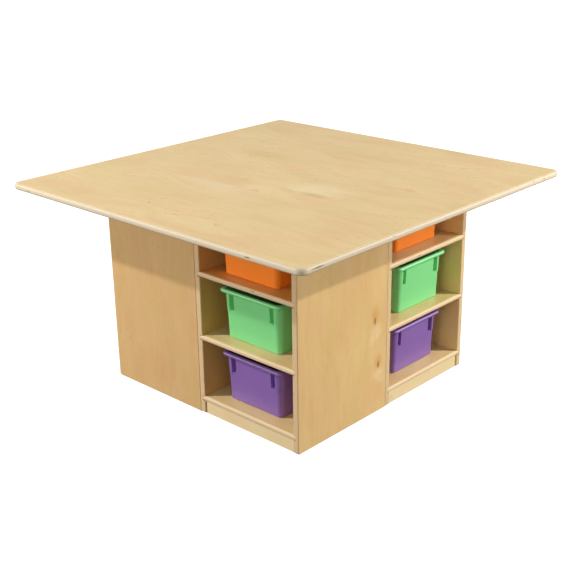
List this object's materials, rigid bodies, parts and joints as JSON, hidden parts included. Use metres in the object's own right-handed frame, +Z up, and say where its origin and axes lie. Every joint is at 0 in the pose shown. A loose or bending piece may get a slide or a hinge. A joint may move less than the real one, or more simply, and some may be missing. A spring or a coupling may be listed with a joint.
{
  "type": "activity table with storage trays",
  "caption": "Square plywood play table on four open tray cabinets set in a pinwheel, with sliding coloured plastic trays on shelves.",
  "frame": {"origin": "on the floor, under the middle of the square table top", "axes": "+Z up; +X out of the right face, -Y out of the front face; each cabinet's opening faces out of its own side"},
  "size_m": [1.1176, 1.1176, 0.614],
  "materials": {
    "top_ply": "clear satin lacquer on birch veneer, ply edge showing",
    "side_ply": "clear satin lacquer on birch veneer",
    "shelf_ply": "clear satin lacquer on birch veneer",
    "tray_orange": "moulded, fine satin",
    "tray_green": "moulded, fine satin",
    "tray_purple": "moulded, fine satin",
    "zinc_steel": "bright zinc plate"
  },
  "bodies": {
    "table": {"table_top": "top_ply", "front_back": "shelf_ply", "front_cap": "shelf_ply", "front_joint_bolt": "zinc_steel", "front_left_screw": "zinc_steel", "front_left_side": "side_ply", "front_lower_shelf": "shelf_ply", "front_middle_shelf": "shelf_ply", "front_right_screw": "zinc_steel", "front_right_side": "side_ply", "front_toe_kick": "side_ply", "front_upper_shelf": "shelf_ply", "right_back": "shelf_ply", "right_cap": "shelf_ply", "right_joint_bolt": "zinc_steel", "right_left_screw": "zinc_steel", "right_left_side": "side_ply", "right_lower_shelf": "shelf_ply", "right_middle_shelf": "shelf_ply", "right_right_screw": "zinc_steel", "right_right_side": "side_ply", "right_toe_kick": "side_ply", "right_upper_shelf": "shelf_ply", "back_back": "shelf_ply", "back_cap": "shelf_ply", "back_joint_bolt": "zinc_steel", "back_left_screw": "zinc_steel", "back_left_side": "side_ply", "back_lower_shelf": "shelf_ply", "back_middle_shelf": "shelf_ply", "back_right_screw": "zinc_steel", "back_right_side": "side_ply", "back_toe_kick": "side_ply", "back_upper_shelf": "shelf_ply", "left_back": "shelf_ply", "left_cap": "shelf_ply", "left_joint_bolt": "zinc_steel", "left_left_screw": "zinc_steel", "left_left_side": "side_ply", "left_lower_shelf": "shelf_ply", "left_middle_shelf": "shelf_ply", "left_right_screw": "zinc_steel", "left_right_side": "side_ply", "left_toe_kick": "side_ply", "left_upper_shelf": "shelf_ply"},
    "front_lower_tray": {"front_lower_tray": "tray_purple"},
    "front_middle_tray": {"front_middle_tray": "tray_green"},
    "front_upper_tray": {"front_upper_tray": "tray_orange"},
    "right_lower_tray": {"right_lower_tray": "tray_purple"},
    "right_middle_tray": {"right_middle_tray": "tray_green"},
    "right_upper_tray": {"right_upper_tray": "tray_orange"},
    "back_lower_tray": {"back_lower_tray": "tray_purple"},
    "back_middle_tray": {"back_middle_tray": "tray_green"},
    "back_upper_tray": {"back_upper_tray": "tray_orange"},
    "left_lower_tray": {"left_lower_tray": "tray_purple"},
    "left_middle_tray": {"left_middle_tray": "tray_green"},
    "left_upper_tray": {"left_upper_tray": "tray_orange"}
  },
  "joints": [
    {"name": "front_lower_tray_slide", "type": "slide", "parent": "table", "child": "front_lower_tray", "axis": [0, -1, 0], "range_m": [0, 0.54]},
    {"name": "front_middle_tray_slide", "type": "slide", "parent": "table", "child": "front_middle_tray", "axis": [0, -1, 0], "range_m": [0, 0.54]},
    {"name": "front_upper_tray_slide", "type": "slide", "parent": "table", "child": "front_upper_tray", "axis": [0, -1, 0], "range_m": [0, 0.54]},
    {"name": "right_lower_tray_slide", "type": "slide", "parent": "table", "child": "right_lower_tray", "axis": [1, 0, 0], "range_m": [0, 0.54]},
    {"name": "right_middle_tray_slide", "type": "slide", "parent": "table", "child": "right_middle_tray", "axis": [1, 0, 0], "range_m": [0, 0.54]},
    {"name": "right_upper_tray_slide", "type": "slide", "parent": "table", "child": "right_upper_tray", "axis": [1, 0, 0], "range_m": [0, 0.54]},
    {"name": "back_lower_tray_slide", "type": "slide", "parent": "table", "child": "back_lower_tray", "axis": [0, 1, 0], "range_m": [0, 0.54]},
    {"name": "back_middle_tray_slide", "type": "slide", "parent": "table", "child": "back_middle_tray", "axis": [0, 1, 0], "range_m": [0, 0.54]},
    {"name": "back_upper_tray_slide", "type": "slide", "parent": "table", "child": "back_upper_tray", "axis": [0, 1, 0], "range_m": [0, 0.54]},
    {"name": "left_lower_tray_slide", "type": "slide", "parent": "table", "child": "left_lower_tray", "axis": [-1, 0, 0], "range_m": [0, 0.54]},
    {"name": "left_middle_tray_slide", "type": "slide", "parent": "table", "child": "left_middle_tray", "axis": [-1, 0, 0], "range_m": [0, 0.54]},
    {"name": "left_upper_tray_slide", "type": "slide", "parent": "table", "child": "left_upper_tray", "axis": [-1, 0, 0], "range_m": [0, 0.54]}
  ]
}
